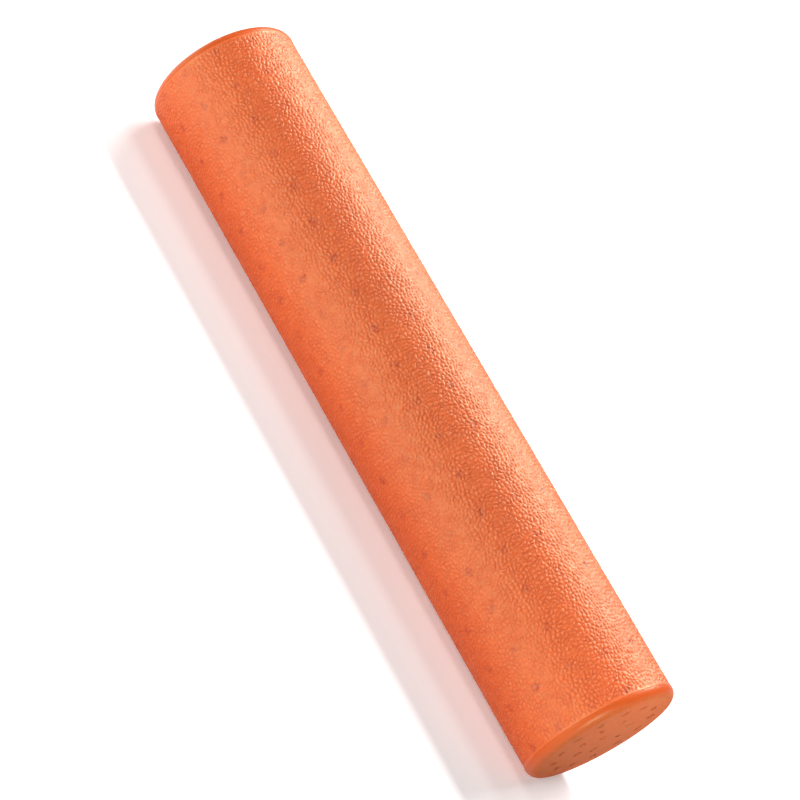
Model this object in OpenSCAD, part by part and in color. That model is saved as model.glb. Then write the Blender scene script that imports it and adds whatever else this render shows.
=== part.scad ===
// Solid bead-foam exercise roller: one steam-moulded bar, modelled as its
// foam core and the dense moulded skin that wraps it.
// It lies along X on the surface z = 0, with the origin under its middle.

/* [Roller] */
// Outer diameter of the roller
diameter = 150; // [100:1:200]
// Overall length, end face to end face
length = 750; // [300:10:1000]

/* [Moulding] */
// Radius of the rounded rim at each end face
rim_radius = 9; // [5:0.5:15]
// Thickness of the dense moulded skin over the core
skin_thickness = 3; // [1:0.5:4]

/* [Hidden] */
$fn = 128;

radius = diameter / 2;
half_length = length / 2;
// The straight side ends where the rim starts to round over
side_half = half_length - rim_radius;
core_radius = radius - skin_thickness;
core_half = half_length - skin_thickness;
core_rim = rim_radius - skin_thickness;

skin_color = [0.93, 0.42, 0.22];
end_color = [0.86, 0.44, 0.28];
core_color = [0.95, 0.55, 0.36];

// Turns a shape made around Z so that it lies along X, resting on z = 0
module lying() {
    translate([0, 0, radius])
        rotate([0, 90, 0])
            children();
}

// Half section of one end of a bar: radius across, height along the axis
module bar_section(bar_radius, bar_half, bar_rim) {
    square([bar_radius, bar_half - bar_rim]);
    square([bar_radius - bar_rim, bar_half]);
    translate([bar_radius - bar_rim, bar_half - bar_rim])
        circle(r = bar_rim);
}

// The whole outline of the core, one end and its mirror image
module core_section() {
    bar_section(core_radius, core_half, core_rim);
    mirror([0, 1])
        bar_section(core_radius, core_half, core_rim);
}

// One moulded end: a flat face and the rounded rim, open towards the core
module end_skin() {
    rotate_extrude()
        difference() {
            intersection() {
                bar_section(radius, half_length, rim_radius);
                translate([0, side_half])
                    square([radius, rim_radius]);
            }
            bar_section(core_radius, core_half, core_rim);
        }
}

module foam_core() {
    color(core_color)
        lying()
            rotate_extrude()
                intersection() {
                    core_section();
                    translate([0, -core_half])
                        square([core_radius, 2 * core_half]);
                }
}

module side_skin() {
    color(skin_color)
        lying()
            rotate_extrude()
                translate([core_radius, -side_half])
                    square([skin_thickness, 2 * side_half]);
}

module end_skin_left() {
    color(end_color)
        lying()
            mirror([0, 0, 1])
                end_skin();
}

module end_skin_right() {
    color(end_color)
        lying()
            end_skin();
}

foam_core();
side_skin();
end_skin_left();
end_skin_right();
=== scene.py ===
import math

import bpy
import numpy as np
from mathutils import Matrix, Vector


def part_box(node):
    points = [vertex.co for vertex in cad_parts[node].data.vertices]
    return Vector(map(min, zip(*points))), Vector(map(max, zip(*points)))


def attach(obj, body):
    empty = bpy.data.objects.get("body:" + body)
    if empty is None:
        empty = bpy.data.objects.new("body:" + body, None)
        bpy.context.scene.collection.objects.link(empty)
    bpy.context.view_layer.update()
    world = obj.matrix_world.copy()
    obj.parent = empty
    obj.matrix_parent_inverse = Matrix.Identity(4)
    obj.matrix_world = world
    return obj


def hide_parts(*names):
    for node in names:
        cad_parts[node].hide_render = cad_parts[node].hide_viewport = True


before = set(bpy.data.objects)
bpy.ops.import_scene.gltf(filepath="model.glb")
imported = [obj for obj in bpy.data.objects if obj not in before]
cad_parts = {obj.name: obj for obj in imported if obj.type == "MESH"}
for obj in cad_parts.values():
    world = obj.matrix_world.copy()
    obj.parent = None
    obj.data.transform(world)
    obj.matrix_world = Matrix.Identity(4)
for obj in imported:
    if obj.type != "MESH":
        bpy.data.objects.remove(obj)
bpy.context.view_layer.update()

MM = 0.001

# ---------------------------------------------------------------- sizes from the frame
SIDE_LOW, SIDE_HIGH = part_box("side_skin")
CORE_LOW, CORE_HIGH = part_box("foam_core")
END_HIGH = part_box("end_skin_right")[1]
AXIS_Z = (SIDE_LOW.z + SIDE_HIGH.z) / 2
RADIUS = (SIDE_HIGH.z - SIDE_LOW.z) / 2
SIDE_HALF = SIDE_HIGH.x
HALF_LENGTH = END_HIGH.x
RIM = HALF_LENGTH - SIDE_HALF
CORE_RADIUS = (CORE_HIGH.z - CORE_LOW.z) / 2
SKIN = RADIUS - CORE_RADIUS
GIRTH = 2 * math.pi * RADIUS
CENTRE = Vector((0, 0, AXIS_Z))

# ---------------------------------------------------------------- surface detail
MESH_STEP = 0.78 * MM  # spacing of the vertices on the grained side
COLUMNS = round(GIRTH / MESH_STEP)  # vertices round the roller, shared by side and ends

PEBBLE = 4.0 * MM  # mean distance between the pebbles of the grain
CREASE_DEPTH = 1.05 * MM
CREASE_WIDTH = 1.15 * MM
FINE_PEBBLE = 2.2 * MM
FINE_DEPTH = 0.20 * MM
TOP_STEP = 0.14 * MM  # how much lower one pebble's top may be than another's
JITTER = 0.92  # how far a pebble's middle may stray over its cell of the lattice
DRIFT_PITCH = 9 * MM  # slow noise that bends the lattice of the pebbles
DRIFT = 1.1 * MM
FINE_DRIFT_PITCH = 3 * MM
FINE_DRIFT = 0.45 * MM
CREASE_STRENGTH_PITCH = 6 * MM
WAVE_HEIGHT = 0.12 * MM  # slow waviness of the moulded foam
WAVE_PITCH = 16 * MM
LONG_WAVE_PITCH = 38 * MM
LONG_WAVE_SHARE = 0.8
GRAIN_FADE = 4 * MM  # the grain dies away over this length at each end of the side

VENT_ROWS = 13  # rows of vent marks round the side
VENTS_PER_ROW = 19
VENT_PITCH = 40 * MM
VENT_RADIUS = 5.5 * MM
VENT_PHASE = math.radians(58)  # angle of one row, from straight up towards the front
VENT_DISH = 0.12 * MM  # how far the foam is sunk in all over a vent mark
VENT_SLITS = 8  # short slits in each vent mark of the side
SLIT_DEPTH = 1.0 * MM
SLIT_WIDTH = 0.75 * MM
SLIT_STRETCH = 1.7  # a slit's length over its width
SLIT_REACH = 0.72  # share of a vent mark's radius within which its slits lie
SLIT_SIZES = (0.6, 1.15)  # smallest and largest slit, as shares of the usual width
MARK_STRENGTHS = (0.4, 1)  # the faintest and the clearest vent mark

FACE_BEAD = 4.0 * MM  # the fused beads that show faintly in the end faces
FACE_CREASE = 0.07 * MM
FACE_CREASE_WIDTH = 0.8 * MM
FACE_DRIFT_PITCH = 8 * MM
FACE_DRIFT = 1.0 * MM
FACE_WAVE = 0.10 * MM
FACE_WAVE_PITCH = 20 * MM
RING_RADIUS = 51 * MM  # vent marks stand in rings on each end face
INNER_RING_RADIUS = 27 * MM
INNER_RING_COUNT = 7
FACE_SLITS = 6
FACE_SLIT_WIDTH = 1.2 * MM
RIGHT_SEED = 40
LEFT_SEED = 60

OUTER_SHARE = 0.97  # the grained outside's share of the side's UV map


# ---------------------------------------------------------------- patterns on a surface
def lattice_noise(u, v, pitch, wrap, seed):
    """Smooth noise from -1 to 1 at the points (u, v), repeating every wrap in v."""
    rows = max(1, round(wrap / pitch))
    rng = np.random.default_rng(seed)
    low = math.floor(u.min() / pitch) - 1
    size = math.ceil(u.max() / pitch) - low + 2
    table = rng.uniform(-1, 1, (size, rows))
    x, y = u / pitch - low, v / wrap * rows
    i, j = np.floor(x).astype(int), np.floor(y).astype(int)
    fx, fy = x - i, y - j
    fx, fy = fx * fx * (3 - 2 * fx), fy * fy * (3 - 2 * fy)
    j, k = j % rows, (j + 1) % rows
    near = table[i, j] * (1 - fy) + table[i, k] * fy
    far = table[i + 1, j] * (1 - fy) + table[i + 1, k] * fy
    return near * (1 - fx) + far * fx


def pebbles(u, v, pitch, wrap, seed):
    """For each point: the distance to the nearest border between two pebbles, and a random
    number for the pebble it is in. The pattern repeats every wrap in v."""
    rows = max(1, round(wrap / pitch))
    across = wrap / rows
    low = math.floor(u.min() / pitch) - 3
    size = math.ceil(u.max() / pitch) - low + 6
    rng = np.random.default_rng(seed)
    seeds = 0.5 + JITTER * (rng.random((size, rows, 2)) - 0.5)
    tone = rng.random((size, rows))
    i, j = np.floor(u / pitch).astype(int), np.floor(v / across).astype(int)
    best = np.full(u.shape, 1e9)
    second = np.full(u.shape, 1e9)
    best_at = np.zeros(u.shape + (2,))
    second_at = np.zeros(u.shape + (2,))
    own_tone = np.zeros(u.shape)
    for di in range(-2, 3):
        for dj in range(-2, 3):
            a, b = i + di - low, (j + dj) % rows
            at_u = (i + di + seeds[a, b, 0]) * pitch - u
            at_v = (j + dj + seeds[a, b, 1]) * across - v
            far = at_u**2 + at_v**2
            first = far < best
            next_ = ~first & (far < second)
            second = np.where(first, best, np.where(next_, far, second))
            second_at[first] = best_at[first]
            second_at[next_] = np.stack([at_u, at_v], -1)[next_]
            best = np.where(first, far, best)
            best_at[first] = np.stack([at_u, at_v], -1)[first]
            own_tone = np.where(first, tone[a, b], own_tone)
    gap = np.linalg.norm(second_at - best_at, axis=-1)
    return (second - best) / (2 * np.maximum(gap, 1e-9)), own_tone


def smooth(t):
    """From 0 to 1 with a soft start and a soft end."""
    t = np.clip(t, 0, 1)
    return t * t * (3 - 2 * t)


def slit_table(marks, slits, width, seed):
    """The slits of each vent mark: place in the mark, size, and direction."""
    rng = np.random.default_rng(seed)
    far = VENT_RADIUS * SLIT_REACH * np.sqrt(rng.random((marks, slits)))
    way = rng.uniform(0, 2 * math.pi, (marks, slits))
    size = rng.uniform(*SLIT_SIZES, (marks, slits)) * width
    turn = rng.uniform(0, math.pi, (marks, slits))
    return np.stack([far * np.cos(way), far * np.sin(way), size, np.cos(turn), np.sin(turn)], -1)


def vent_marks(off_u, off_v, mark, table, seed):
    """How far each point is inside a slit of its vent mark, and inside the mark itself, from
    0 to 1. Some marks are fainter than others."""
    share = np.zeros(off_u.shape)
    for k in range(table.shape[1]):
        at_u, at_v, size, turn_u, turn_v = np.moveaxis(table[mark, k], -1, 0)
        du, dv = off_u - at_u, off_v - at_v
        long_, wide = du * turn_u + dv * turn_v, dv * turn_u - du * turn_v
        distance = np.hypot(long_ / SLIT_STRETCH, wide)
        share = np.maximum(share, smooth((1.5 * size - distance) / (1.1 * size)))
    vent = smooth((VENT_RADIUS - np.hypot(off_u, off_v)) / (0.6 * VENT_RADIUS))
    strength = np.random.default_rng(seed).uniform(*MARK_STRENGTHS, len(table))[mark]
    return share * strength, vent * strength


def side_relief(along, angle):
    """Height of the grained side above the plain cylinder (never above it), and how much
    crease and vent mark there is at each point."""
    round_ = angle * RADIUS
    drift_u = lattice_noise(along, round_, DRIFT_PITCH, GIRTH, 11) * DRIFT
    drift_v = lattice_noise(along, round_, DRIFT_PITCH, GIRTH, 12) * DRIFT
    drift_u = drift_u + lattice_noise(along, round_, FINE_DRIFT_PITCH, GIRTH, 13) * FINE_DRIFT
    drift_v = drift_v + lattice_noise(along, round_, FINE_DRIFT_PITCH, GIRTH, 14) * FINE_DRIFT
    border, tone = pebbles(along + drift_u, round_ + drift_v, PEBBLE, GIRTH, 21)
    strength = 0.75 + 0.35 * lattice_noise(along, round_, CREASE_STRENGTH_PITCH, GIRTH, 15)
    crease = (1 - smooth(border / CREASE_WIDTH)) * np.clip(strength, 0, 1)
    dome = smooth(border / (0.5 * PEBBLE))
    fine, _ = pebbles(along + drift_v, round_ + drift_u, FINE_PEBBLE, GIRTH, 22)
    fine_crease = 1 - smooth(fine / (0.35 * FINE_PEBBLE))
    grain = -CREASE_DEPTH * (0.5 * crease + 0.5 * (1 - dome)) - FINE_DEPTH * fine_crease
    grain -= TOP_STEP * tone

    turn = 2 * math.pi / VENT_ROWS
    row = np.round((angle - VENT_PHASE) / turn)
    half = VENTS_PER_ROW // 2
    column = np.clip(np.round(along / VENT_PITCH), -half, half)
    off_u = along - column * VENT_PITCH
    off_v = (angle - VENT_PHASE - row * turn) * RADIUS
    mark = ((row % VENT_ROWS) * VENTS_PER_ROW + column + half).astype(int)
    slits = slit_table(VENT_ROWS * VENTS_PER_ROW, VENT_SLITS, SLIT_WIDTH, 31)
    slit, vent = vent_marks(off_u, off_v, mark, slits, 32)
    relief = grain * (1 - 0.5 * vent) - VENT_DISH * vent - SLIT_DEPTH * slit

    wave = lattice_noise(along, round_, WAVE_PITCH, GIRTH, 16)
    wave = wave + LONG_WAVE_SHARE * lattice_noise(along, round_, LONG_WAVE_PITCH, GIRTH, 17)
    relief = relief + 0.5 * WAVE_HEIGHT * (wave - 1 - LONG_WAVE_SHARE)
    fade = smooth((SIDE_HALF - np.abs(along)) / GRAIN_FADE)
    fines = np.maximum(crease, 0.4 * fine_crease)
    maps = {"crease": fines * fade, "slit": slit * fade, "vent": vent * fade}
    return relief * fade, maps


def end_relief(reach, angle, seed):
    """The same for an end, at a distance over the surface from the middle of its face."""
    u, v = reach * np.sin(angle), reach * np.cos(angle)
    span = 4 * RADIUS
    above = v + span / 2
    drift_u = lattice_noise(u, above, FACE_DRIFT_PITCH, span, seed) * FACE_DRIFT
    drift_v = lattice_noise(u, above, FACE_DRIFT_PITCH, span, seed + 1) * FACE_DRIFT
    border, _ = pebbles(u + drift_u, above + drift_v, FACE_BEAD, span, seed + 2)
    crease = 1 - smooth(border / FACE_CREASE_WIDTH)
    wave = lattice_noise(u, above, FACE_WAVE_PITCH, span, seed + 3)
    relief = -FACE_CREASE * crease + 0.5 * FACE_WAVE * (wave - 1)

    marks = [(0, 0)]
    for radius, count in ((RING_RADIUS, VENT_ROWS), (INNER_RING_RADIUS, INNER_RING_COUNT)):
        for k in range(count):
            at = VENT_PHASE + 2 * math.pi * k / count
            marks.append((radius * math.sin(at), radius * math.cos(at)))
    marks = np.array(marks)
    mark = np.argmin([np.hypot(u - at_u, v - at_v) for at_u, at_v in marks], axis=0)
    off_u, off_v = u - marks[mark, 0], v - marks[mark, 1]
    slits = slit_table(len(marks), FACE_SLITS, FACE_SLIT_WIDTH, seed + 4)
    slit, vent = vent_marks(off_u, off_v, mark, slits, seed + 5)
    relief = relief - SLIT_DEPTH * slit - VENT_DISH * vent
    fade = smooth((reach.max() - reach) / RIM)
    maps = {"crease": crease * fade, "slit": slit * fade, "vent": vent * fade}
    return relief * fade, maps


# ---------------------------------------------------------------- mesh building
class Strip:
    """One ring of a skin: its points, and where they lie on the bake's UV map."""

    def __init__(self, points, places, relief_maps=None):
        self.points = points.reshape(-1, 3)
        self.places = places
        self.maps = relief_maps or {}


def skin_mesh(name, strips, closing_places, map_names, mirrored=False):
    """A closed skin from rings of COLUMNS points: each ring joins the next, and the last
    joins the first. A ring may be a single point, where the skin closes on the axis."""
    starts = np.cumsum([0] + [len(strip.points) for strip in strips])
    here = np.arange(COLUMNS)
    after = (here + 1) % COLUMNS
    corner_lists, place_lists, sizes = [], [], []
    for k, strip in enumerate(strips):
        m = (k + 1) % len(strips)
        other = strips[m]
        near, far = strip.places, other.places if m else closing_places
        if len(strip.points) == 1 and len(other.points) == 1:
            continue
        if len(strip.points) == 1:
            corners = np.stack([np.full(COLUMNS, starts[k]), starts[m] + after, starts[m] + here], 1)
            places = np.stack([near[:-1], far[1:], far[:-1]], 1)
        elif len(other.points) == 1:
            corners = np.stack([starts[k] + here, starts[k] + after, np.full(COLUMNS, starts[m])], 1)
            places = np.stack([near[:-1], near[1:], far[:-1]], 1)
        else:
            corners = np.stack(
                [starts[k] + here, starts[k] + after, starts[m] + after, starts[m] + here], 1
            )
            places = np.stack([near[:-1], near[1:], far[1:], far[:-1]], 1)
        if mirrored:
            corners, places = corners[:, ::-1], places[:, ::-1]
        corner_lists.append(corners.ravel())
        place_lists.append(places.reshape(-1, 2))
        sizes.append(np.full(COLUMNS, corners.shape[1]))
    points = np.concatenate([strip.points for strip in strips])
    if mirrored:
        points = points * (-1, 1, 1)
    corners = np.concatenate(corner_lists).astype(np.int32)
    sizes = np.concatenate(sizes).astype(np.int32)
    loop_starts = np.concatenate([[0], np.cumsum(sizes)[:-1]]).astype(np.int32)
    mesh = bpy.data.meshes.new(name)
    mesh.vertices.add(len(points))
    mesh.vertices.foreach_set("co", points.astype(np.float32).ravel())
    mesh.loops.add(len(corners))
    mesh.loops.foreach_set("vertex_index", corners)
    mesh.polygons.add(len(sizes))
    mesh.polygons.foreach_set("loop_start", loop_starts)
    mesh.polygons.foreach_set("use_smooth", np.ones(len(sizes), bool))
    mesh.update(calc_edges=True)
    layer = mesh.uv_layers.new(name="OFBake")
    layer.data.foreach_set("uv", np.concatenate(place_lists).astype(np.float32).ravel())
    for key in map_names:
        values = [strip.maps.get(key, np.zeros(len(strip.points))) for strip in strips]
        attribute = mesh.attributes.new(key, "FLOAT", "POINT")
        attribute.data.foreach_set("value", np.concatenate(values).astype(np.float32))
    mesh.validate()
    piece = bpy.data.objects.new(name, mesh)
    bpy.context.scene.collection.objects.link(piece)
    return piece


# Angles run round the axis from straight up towards the front, which is -Y.
ANGLES = np.arange(COLUMNS) / COLUMNS * 2 * math.pi
EDGE_ANGLES = np.arange(COLUMNS + 1) / COLUMNS * 2 * math.pi
ROUND_SHARE = EDGE_ANGLES / (2 * math.pi)


def ring(along, radius, angle=ANGLES):
    """One ring of points round the axis. along and radius are numbers or one value a column."""
    return np.stack(
        [along + 0 * angle, -radius * np.sin(angle), AXIS_Z + radius * np.cos(angle)], -1
    )


def make_side():
    """The grained side as a closed tube: the grained outside, the plain inside, and the
    two narrow rings that meet the end skins."""
    steps = round(2 * SIDE_HALF / MESH_STEP)
    along = np.linspace(-SIDE_HALF, SIDE_HALF, steps + 1)
    grid_along, grid_angle = np.meshgrid(along, ANGLES, indexing="ij")
    relief, maps = side_relief(grid_along, grid_angle)

    def place(across):
        return np.stack([np.full(COLUMNS + 1, across), ROUND_SHARE], 1)

    strips = [
        Strip(
            ring(x, RADIUS + relief[i]),
            place(OUTER_SHARE * i / steps),
            {key: values[i] for key, values in maps.items()},
        )
        for i, x in enumerate(along)
    ]
    hidden = (1 - OUTER_SHARE) / 3
    strips.append(Strip(ring(SIDE_HALF, CORE_RADIUS), place(OUTER_SHARE + hidden)))
    strips.append(Strip(ring(-SIDE_HALF, CORE_RADIUS), place(OUTER_SHARE + 2 * hidden)))
    return skin_mesh("side_skin_grained", strips, place(1), maps)


def make_end(name, mirrored, seed):
    """One end: from the side over the rounded rim to the middle of the face, then back
    along the inside. The left end is the mirror image with another pattern."""
    rim_steps = math.ceil(RIM * math.pi / 2 / MESH_STEP)
    face_radius = RADIUS - RIM
    face_steps = math.ceil(face_radius / MESH_STEP)
    turns = np.linspace(0, math.pi / 2, rim_steps + 1)
    profile = [
        (SIDE_HALF + RIM * math.sin(t), face_radius + RIM * math.cos(t), math.sin(t), math.cos(t))
        for t in turns
    ]
    profile += [
        (HALF_LENGTH, face_radius * (1 - i / face_steps), 1.0, 0.0)
        for i in range(1, face_steps + 1)
    ]
    x, r, out_x, out_r = np.array(profile).T
    # distance over the surface from the middle of the face
    reach = np.concatenate([[0], np.cumsum(np.hypot(np.diff(x), np.diff(r)))])
    reach = reach[-1] - reach
    relief, maps = end_relief(reach[:, None] + 0 * ANGLES, ANGLES[None] + 0 * reach[:, None], seed)

    def place(radius, middle):
        return np.stack(
            [middle + radius * np.sin(EDGE_ANGLES), middle + radius * np.cos(EDGE_ANGLES)], 1
        )

    # two discs on the UV map: a large one for the outside and a small one for the inside
    outer_size, outer_middle = 0.38, 0.39
    inner_size, inner_middle = 0.09, 0.89
    inner_rim_rings = 7
    last = len(x) - 1
    strips = [
        Strip(
            ring(x[i] + out_x[i] * relief[i], r[i] + out_r[i] * relief[i]),
            place(outer_size * reach[i] / reach[0], outer_middle),
            {key: values[i] for key, values in maps.items()},
        )
        for i in range(last)
    ]
    middle_maps = {key: values[last].mean(keepdims=True) for key, values in maps.items()}
    tip = np.array([[x[last] + relief[last].mean(), 0, AXIS_Z]])
    strips.append(Strip(tip, place(0, outer_middle), middle_maps))
    inner_rim = RIM - SKIN
    strips.append(Strip(np.array([[HALF_LENGTH - SKIN, 0, AXIS_Z]]), place(0, inner_middle)))
    for t in np.linspace(math.pi / 2, 0, inner_rim_rings):
        strips.append(
            Strip(
                ring(SIDE_HALF + inner_rim * math.sin(t), face_radius + inner_rim * math.cos(t)),
                place(inner_size * (face_radius + inner_rim * math.cos(t)) / RADIUS, inner_middle),
            )
        )
    return skin_mesh(name, strips, place(inner_size * 1.1, inner_middle), maps, mirrored)


# ---------------------------------------------------------------- materials
class Graph:
    """Short calls for a material's nodes: a value is a number, a colour or a socket.
    The scale of noise and cells is in features per metre."""

    def __init__(self, name):
        self.material = bpy.data.materials.new(name)
        self.material.use_nodes = True
        self.nodes = self.material.node_tree.nodes
        self.links = self.material.node_tree.links
        self.shader = self.nodes["Principled BSDF"]
        self.place = self.nodes.new("ShaderNodeTexCoord").outputs["Object"]

    def put(self, value, socket):
        if isinstance(value, bpy.types.NodeSocket):
            self.links.new(value, socket)
        else:
            socket.default_value = value

    def attribute(self, name):
        node = self.nodes.new("ShaderNodeAttribute")
        node.attribute_name = name
        return node.outputs["Fac"]

    def noise(self, scale, detail):
        node = self.nodes.new("ShaderNodeTexNoise")
        node.inputs["Scale"].default_value = scale
        node.inputs["Detail"].default_value = detail
        self.links.new(self.place, node.inputs["Vector"])
        return node.outputs["Fac"]

    def cells(self, scale, feature="F1"):
        node = self.nodes.new("ShaderNodeTexVoronoi")
        node.feature = feature
        node.inputs["Scale"].default_value = scale
        self.links.new(self.place, node.inputs["Vector"])
        return node.outputs["Distance"]

    def math(self, operation, first, second):
        node = self.nodes.new("ShaderNodeMath")
        node.operation = operation
        self.put(first, node.inputs[0])
        self.put(second, node.inputs[1])
        return node.outputs[0]

    def spread(self, value, low, high, to_low, to_high):
        """value from low to high becomes to_low to to_high, and stops there."""
        node = self.nodes.new("ShaderNodeMapRange")
        for socket, number in zip(node.inputs[:5], (value, low, high, to_low, to_high)):
            self.put(number, socket)
        return node.outputs[0]

    def mix(self, share, first, second):
        node = self.nodes.new("ShaderNodeMix")
        node.data_type = "RGBA"
        self.put(share, node.inputs[0])
        self.put(first, node.inputs[6])
        self.put(second, node.inputs[7])
        return node.outputs[2]

    def tint(self, colour, place, share, towards):
        """colour, moved by share towards another one where place is 1."""
        return self.mix(self.math("MULTIPLY", place, share), colour, towards)

    def bump(self, height, distance, strength, under=None):
        node = self.nodes.new("ShaderNodeBump")
        node.inputs["Distance"].default_value = distance
        node.inputs["Strength"].default_value = strength
        self.put(height, node.inputs["Height"])
        if under:
            self.put(under, node.inputs["Normal"])
        return node.outputs["Normal"]

    def wire(self, **inputs):
        for name, value in inputs.items():
            self.put(value, self.shader.inputs[name.replace("_", " ")])
        return self.material


FOAM = (0.70, 0.088, 0.005, 1)
FOAM_DEEP = (0.64, 0.074, 0.003, 1)
# dark orange: random speckles and the dark lines of the core, and painted shade in the side's
# creases and vent marks
DARK_TONE_AND_SHADE = (0.50, 0.034, 0.001, 1)
# painted shade in the side's vent slits
SLIT_SHADE = (0.40, 0.016, 0.001, 1)
# darker orange: the face's slow drift of tone, and painted shade on the rounded rim
RIM_SHADE_AND_TONE = (0.52, 0.066, 0.006, 1)
FACE_COLOUR = (0.48, 0.088, 0.014, 1)
# the dark specks of the end faces, and painted shade in their bead lines and vent marks
FACE_SPECKLE_AND_SHADE = (0.34, 0.066, 0.014, 1)
# painted shade in the vent slits of the end faces
FACE_SLIT_SHADE = (0.17, 0.028, 0.010, 1)
SHINE = (0.26, 0.96, 0.59, 1)  # the foam shines pale and warm over its strong orange


def side_material():
    """Moulded foam skin: colour that drifts a little, painted shade that darkens the creases,
    vent marks and vent slits, and pebble tops that are smoother than the creases between them."""
    g = Graph("side_foam_skin")
    slow = g.spread(g.noise(11, 3), 0.35, 0.65, 0, 1)
    speckle = g.spread(g.noise(420, 2), 0.35, 0.7, 0, 1)
    crease, slit, vent = g.attribute("crease"), g.attribute("slit"), g.attribute("vent")
    colour = g.mix(slow, FOAM, FOAM_DEEP)
    colour = g.tint(colour, speckle, 0.25, DARK_TONE_AND_SHADE)
    # painted shade: the creases between the pebbles are darkened in colour
    colour = g.tint(colour, crease, 0.85, DARK_TONE_AND_SHADE)
    # painted shade: the sunken vent marks are darkened in colour
    colour = g.tint(colour, vent, 0.75, DARK_TONE_AND_SHADE)
    # painted shade: the vent slits are darkened in colour
    colour = g.tint(colour, slit, 0.90, SLIT_SHADE)
    rough = g.spread(g.noise(160, 2), 0.3, 0.7, 0.40, 0.52)
    rough = g.math("ADD", rough, g.math("MULTIPLY", crease, 0.12))
    pores = g.bump(g.noise(1500, 2), 0.12 * MM, 0.35)
    normal = g.bump(g.noise(600, 3), 0.3 * MM, 0.35, pores)
    g.shader.inputs["Specular IOR Level"].default_value = 1.0
    g.shader.inputs["Specular Tint"].default_value = SHINE
    return g.wire(Base_Color=colour, Roughness=rough, Normal=normal)


def end_material():
    """The end faces are matt and nearly smooth, with fused beads that barely show. Painted shade
    darkens the rounded rim, the bead lines, the vent marks and their slits.
    """
    g = Graph("end_foam_skin")
    slow = g.spread(g.noise(24, 3), 0.35, 0.65, 0, 1)
    crease, slit, vent = g.attribute("crease"), g.attribute("slit"), g.attribute("vent")
    across = g.nodes.new("ShaderNodeSeparateXYZ")
    g.links.new(g.place, across.inputs[0])
    face = g.math("ABSOLUTE", across.outputs[0], 0.0)
    face = g.spread(face, SIDE_HALF + 0.60 * RIM, HALF_LENGTH - 0.06 * RIM, 0, 1)
    speckle = g.spread(g.noise(300, 3), 0.40, 0.65, 0, 1)
    colour = g.tint(FACE_COLOUR, slow, 0.35, RIM_SHADE_AND_TONE)
    colour = g.tint(colour, speckle, 0.45, FACE_SPECKLE_AND_SHADE)
    # painted shade: the rounded rim gets a darker, redder colour than the face
    colour = g.mix(face, RIM_SHADE_AND_TONE, colour)
    # painted shade: the bead lines and vent marks are darkened in colour
    colour = g.tint(colour, crease, 0.40, FACE_SPECKLE_AND_SHADE)
    colour = g.tint(colour, vent, 0.30, FACE_SPECKLE_AND_SHADE)
    # painted shade: the vent slits are darkened in colour
    colour = g.tint(colour, slit, 0.90, FACE_SLIT_SHADE)
    rough = g.spread(g.noise(200, 2), 0.3, 0.7, 0.38, 0.48)
    rough = g.math("ADD", rough, g.math("MULTIPLY", face, 0.45))
    pores = g.bump(g.noise(1300, 2), 0.12 * MM, 0.35)
    normal = g.bump(g.noise(480, 3), 0.25 * MM, 0.35, pores)
    g.shader.inputs["Specular IOR Level"].default_value = 0.5
    g.shader.inputs["Specular Tint"].default_value = SHINE
    return g.wire(Base_Color=colour, Roughness=rough, Normal=normal)


def core_material():
    """The hidden core is a block of fused foam beads, with dark lines between them."""
    g = Graph("core_bead_foam")
    gap = g.spread(g.cells(230, "DISTANCE_TO_EDGE"), 0.0, 0.09, 1, 0)
    bead = g.spread(g.cells(230), 0.1, 0.7, 0, 1)
    colour = g.mix(bead, FOAM, FOAM_DEEP)
    colour = g.tint(colour, gap, 0.6, DARK_TONE_AND_SHADE)
    rough = g.spread(g.noise(300, 2), 0.3, 0.7, 0.6, 0.8)
    normal = g.bump(g.math("SUBTRACT", 1, bead), 0.6 * MM, 0.5)
    g.shader.inputs["Specular IOR Level"].default_value = 0.3
    return g.wire(Base_Color=colour, Roughness=rough, Normal=normal)


# ---------------------------------------------------------------- camera, floor and lights
def make_camera():
    """The camera stands off the right-hand end and above, rolled so that the roller's
    right-hand end points down to the right."""
    focal = 131.4
    distance = 2705.2 * MM
    view_angle = math.radians(71.36)  # between the line of sight and the roller's axis
    above = math.radians(28)  # how far round the axis from level the camera stands
    roll = math.radians(60.14)
    aside, down_by = 3.62 * MM, -9.00 * MM
    along = Vector((1, 0, 0))
    outward = Vector((0, -math.cos(above), math.sin(above)))
    forward = -(math.cos(view_angle) * along + math.sin(view_angle) * outward)
    level_right = math.sin(view_angle) * along - math.cos(view_angle) * outward
    level_down = along.cross(outward)
    right = math.cos(roll) * level_right - math.sin(roll) * level_down
    down = math.sin(roll) * level_right + math.cos(roll) * level_down
    place = CENTRE - aside * right - down_by * down - distance * forward
    data = bpy.data.cameras.new("camera")
    data.lens = focal
    data.sensor_width = 36
    camera = bpy.data.objects.new("camera", data)
    turn = Matrix((right, -down, -forward)).transposed().to_4x4()
    camera.matrix_world = Matrix.Translation(place) @ turn
    bpy.context.scene.collection.objects.link(camera)
    bpy.context.scene.camera = camera


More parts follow.
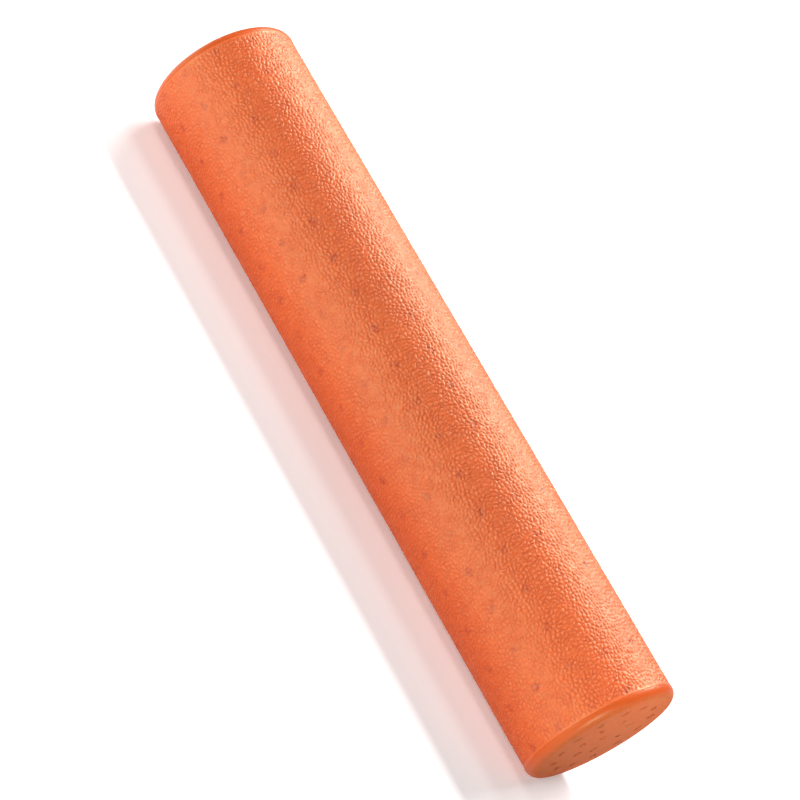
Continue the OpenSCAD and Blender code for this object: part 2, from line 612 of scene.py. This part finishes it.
def make_floor():
    size = 6.0  # from the middle to each edge
    white = (0.88, 0.88, 0.88, 1)
    glow_starts, glow_ends = 0.9, 2.4  # distances from the origin between which it rises
    weak_glow, strong_glow = 0.26, 0.95
    mesh = bpy.data.meshes.new("floor")
    corners = [(-size, -size, 0), (size, -size, 0), (size, size, 0), (-size, size, 0)]
    mesh.from_pydata(corners, [], [(0, 1, 2, 3)])
    floor = bpy.data.objects.new("floor", mesh)
    bpy.context.scene.collection.objects.link(floor)
    g = Graph("pale_floor")
    g.shader.inputs["Base Color"].default_value = white
    g.shader.inputs["Roughness"].default_value = 0.9
    g.shader.inputs["Specular IOR Level"].default_value = 0.1
    # A lit table: it glows a little, which keeps shadows and the roller's underside light,
    # and it glows more where the lights don't reach, so that it meets the white backdrop.
    length = g.nodes.new("ShaderNodeVectorMath")
    length.operation = "LENGTH"
    g.links.new(g.place, length.inputs[0])
    glow = g.spread(length.outputs["Value"], glow_starts, glow_ends, weak_glow, strong_glow)
    g.shader.inputs["Emission Color"].default_value = (1, 1, 1, 1)
    g.wire(Emission_Strength=glow)
    mesh.materials.append(g.material)


def aim_light(name, data, power, place, target):
    """Puts a lamp at a place and points it at a target. The camera doesn't see it."""
    data.energy = power
    light = bpy.data.objects.new(name, data)
    light.location = place
    light.rotation_mode = "QUATERNION"
    light.rotation_quaternion = (Vector(target) - Vector(place)).to_track_quat("-Z", "Y")
    light.visible_camera = False
    bpy.context.scene.collection.objects.link(light)


def end_light():
    """A narrow spot on the upper part of the right-hand end face."""
    data = bpy.data.lights.new("end_spot", "SPOT")
    data.spot_size = math.radians(8.8)
    data.spot_blend = 0.45
    data.shadow_soft_size = 0.1
    place = (1.80, -0.75, 0.55)
    aim_light("end_spot", data, 118, place, (HALF_LENGTH, 0, AXIS_Z + RADIUS))


def strip_light(name, angle, power):
    """A long softbox beside the roller. Its angle goes round the axis from level in front,
    over the top, to level behind."""
    turn = math.radians(angle)
    distance, lowest, middle = 2.2, 0.32, -0.8
    height = max(lowest, AXIS_Z + distance * math.sin(turn))
    data = bpy.data.lights.new(name, "AREA")
    data.shape = "RECTANGLE"
    data.size = 2.5
    data.size_y = 0.5
    place = (middle, -distance * math.cos(turn), height)
    aim_light(name, data, power, place, (middle, 0, AXIS_Z))


def make_lights():
    strip_light("front_low_strip", 3, 36)
    strip_light("front_high_strip", 50, 14)
    strip_light("top_strip", 95, 9)
    strip_light("back_key_strip", 126, 107)
    end_light()


def make_world():
    """The backdrop is seen white, but lights the roller only a little."""
    seen_strength, lighting_strength = 1.0, 0.18
    world = bpy.data.worlds.new("studio")
    world.use_nodes = True
    background = world.node_tree.nodes["Background"]
    background.inputs["Color"].default_value = (1, 1, 1, 1)
    seen = world.node_tree.nodes.new("ShaderNodeLightPath").outputs["Is Camera Ray"]
    strength = world.node_tree.nodes.new("ShaderNodeMapRange")
    strength.inputs["To Min"].default_value = lighting_strength
    strength.inputs["To Max"].default_value = seen_strength
    world.node_tree.links.new(seen, strength.inputs["Value"])
    world.node_tree.links.new(strength.outputs["Result"], background.inputs["Strength"])
    bpy.context.scene.world = world
    bpy.context.scene.view_settings.view_transform = "Standard"


make_camera()
make_floor()
make_lights()
make_world()
side = make_side()
right = make_end("end_skin_right_face", False, RIGHT_SEED)
left = make_end("end_skin_left_face", True, LEFT_SEED)
side.data.materials.append(side_material())
ends = end_material()
for piece in (right, left):
    piece.data.materials.append(ends)
for piece, node, slot in (
    (side, "side_skin", "grained_skin"),
    (right, "end_skin_right", "end_skin"),
    (left, "end_skin_left", "end_skin"),
):
    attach(piece, "root")
    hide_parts(node)
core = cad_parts["foam_core"]
core.data.materials.clear()
core.data.materials.append(core_material())
